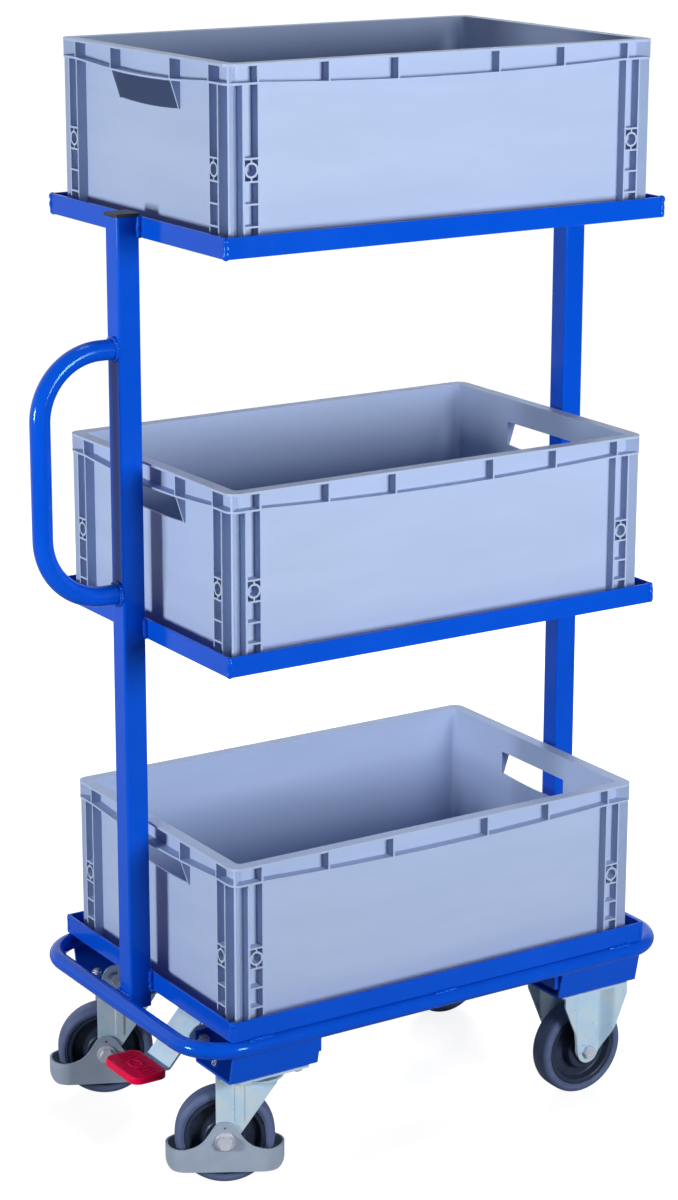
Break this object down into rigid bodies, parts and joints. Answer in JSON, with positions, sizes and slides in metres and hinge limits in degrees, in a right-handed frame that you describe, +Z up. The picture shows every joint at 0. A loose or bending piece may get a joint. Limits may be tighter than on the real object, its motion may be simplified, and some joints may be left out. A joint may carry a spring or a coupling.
{
  "type": "euro box trolley",
  "caption": "Push trolley with open angle-steel shelves between square posts, each holding a euro box, with a bumper ring, bent-tube handle, swivel and fixed casters and a foot brake.",
  "frame": {"origin": "on the floor, below the middle of the trolley's whole outline", "axes": "+Z up, X along the long side with the push handle at -X, Y across"},
  "size_m": [0.8148, 0.4414, 1.38],
  "materials": {
    "blue_paint": "glossy blue powder coat",
    "zinc_steel": "bright zinc plating",
    "box_plastic": "satin moulded polypropylene",
    "tyre_rubber": "matt grey thermoplastic rubber",
    "core_plastic": "matt moulded polypropylene",
    "bearing_plastic": "plain nylon",
    "guard_plastic": "fine-grained moulded plastic",
    "race_seal": "matt seal",
    "pedal_plastic": "semi-gloss moulded plastic",
    "cap_plastic": "fine-grained moulded plastic"
  },
  "bodies": {
    "frame": {"base_cross_bars": "blue_paint", "base_far_end_rail": "blue_paint", "base_handle_end_rail": "blue_paint", "base_left_rail": "blue_paint", "base_right_rail": "blue_paint", "brake_bearing_plates": "zinc_steel", "brake_plate_bolts": "zinc_steel", "bumper_ring": "blue_paint", "caster_fasteners": "zinc_steel", "far_post": "blue_paint", "fixed_axles": "zinc_steel", "handle_post": "blue_paint", "left_fixed_bracket": "blue_paint", "left_fixed_fork": "zinc_steel", "left_kingpin": "zinc_steel", "left_swivel_bracket": "blue_paint", "left_swivel_plate": "zinc_steel", "left_swivel_race": "race_seal", "middle_far_end_rail": "blue_paint", "middle_handle_end_rail": "blue_paint", "middle_left_rail": "blue_paint", "middle_right_rail": "blue_paint", "post_caps": "cap_plastic", "push_handle": "blue_paint", "right_fixed_bracket": "blue_paint", "right_fixed_fork": "zinc_steel", "right_kingpin": "zinc_steel", "right_swivel_bracket": "blue_paint", "right_swivel_plate": "zinc_steel", "right_swivel_race": "race_seal", "top_far_end_rail": "blue_paint", "top_handle_end_rail": "blue_paint", "top_left_rail": "blue_paint", "top_right_rail": "blue_paint"},
    "right_swivel": {"right_swivel_fork": "zinc_steel", "right_toe_guard": "guard_plastic", "right_swivel_axle": "zinc_steel"},
    "right_swivel_wheel": {"right_swivel_tyre": "tyre_rubber", "right_swivel_wheel_core": "core_plastic", "right_swivel_wheel_bearing": "bearing_plastic"},
    "right_fixed_wheel": {"right_fixed_tyre": "tyre_rubber", "right_fixed_wheel_core": "core_plastic", "right_fixed_wheel_bearing": "bearing_plastic"},
    "right_plunger": {"right_brake_plunger": "zinc_steel"},
    "left_swivel": {"left_swivel_fork": "zinc_steel", "left_toe_guard": "guard_plastic", "left_swivel_axle": "zinc_steel"},
    "left_swivel_wheel": {"left_swivel_tyre": "tyre_rubber", "left_swivel_wheel_core": "core_plastic", "left_swivel_wheel_bearing": "bearing_plastic"},
    "left_fixed_wheel": {"left_fixed_tyre": "tyre_rubber", "left_fixed_wheel_core": "core_plastic", "left_fixed_wheel_bearing": "bearing_plastic"},
    "left_plunger": {"left_brake_plunger": "zinc_steel"},
    "brake_pedal": {"brake_shaft": "zinc_steel", "brake_lever": "zinc_steel", "pedal_cover": "pedal_plastic"},
    "bottom_box": {"bottom_box": "box_plastic"},
    "middle_box": {"middle_box": "box_plastic"},
    "top_box": {"top_box": "box_plastic"}
  },
  "joints": [
    {"name": "right_swivel_turn", "type": "hinge", "parent": "frame", "child": "right_swivel", "pos_m": [-0.1979, -0.156, 0.1425], "axis": [0, 0, 1], "continuous": true},
    {"name": "right_swivel_wheel_roll", "type": "hinge", "parent": "right_swivel", "child": "right_swivel_wheel", "pos_m": [-0.23254, -0.136, 0.0625], "axis": [0.5, 0.866, 0], "continuous": true},
    {"name": "right_fixed_wheel_roll", "type": "hinge", "parent": "frame", "child": "right_fixed_wheel", "pos_m": [0.2951, -0.156, 0.0625], "axis": [0, 1, 0], "continuous": true},
    {"name": "left_swivel_turn", "type": "hinge", "parent": "frame", "child": "left_swivel", "pos_m": [-0.1979, 0.156, 0.1425], "axis": [0, 0, 1], "continuous": true},
    {"name": "left_swivel_wheel_roll", "type": "hinge", "parent": "left_swivel", "child": "left_swivel_wheel", "pos_m": [-0.23415, 0.17291, 0.0625], "axis": [0.4226, 0.9063, 0], "continuous": true},
    {"name": "left_fixed_wheel_roll", "type": "hinge", "parent": "frame", "child": "left_fixed_wheel", "pos_m": [0.2951, 0.156, 0.0625], "axis": [0, 1, 0], "continuous": true},
    {"name": "brake_pedal_turn", "type": "hinge", "parent": "frame", "child": "brake_pedal", "pos_m": [-0.1979, 0, 0.18], "axis": [0, -1, 0], "range_deg": [0, 20]},
    {"name": "right_plunger_slide", "type": "slide", "parent": "frame", "child": "right_plunger", "axis": [0, 0, -1], "range_m": [0, 0.00384]},
    {"name": "left_plunger_slide", "type": "slide", "parent": "frame", "child": "left_plunger", "axis": [0, 0, -1], "range_m": [0, 0.00384]},
    {"name": "bottom_box_lift", "type": "slide", "parent": "frame", "child": "bottom_box", "axis": [0, 0, 1], "range_m": [0, 0.2]},
    {"name": "middle_box_lift", "type": "slide", "parent": "frame", "child": "middle_box", "axis": [0, 0, 1], "range_m": [0, 0.24]},
    {"name": "top_box_lift", "type": "slide", "parent": "frame", "child": "top_box", "axis": [0, 0, 1], "range_m": [0, 0.3]}
  ],
  "couplings": [
    {"joint": "right_plunger_slide", "follows": "brake_pedal_turn", "m_per_rad": 0.011},
    {"joint": "left_plunger_slide", "follows": "brake_pedal_turn", "m_per_rad": 0.011}
  ]
}
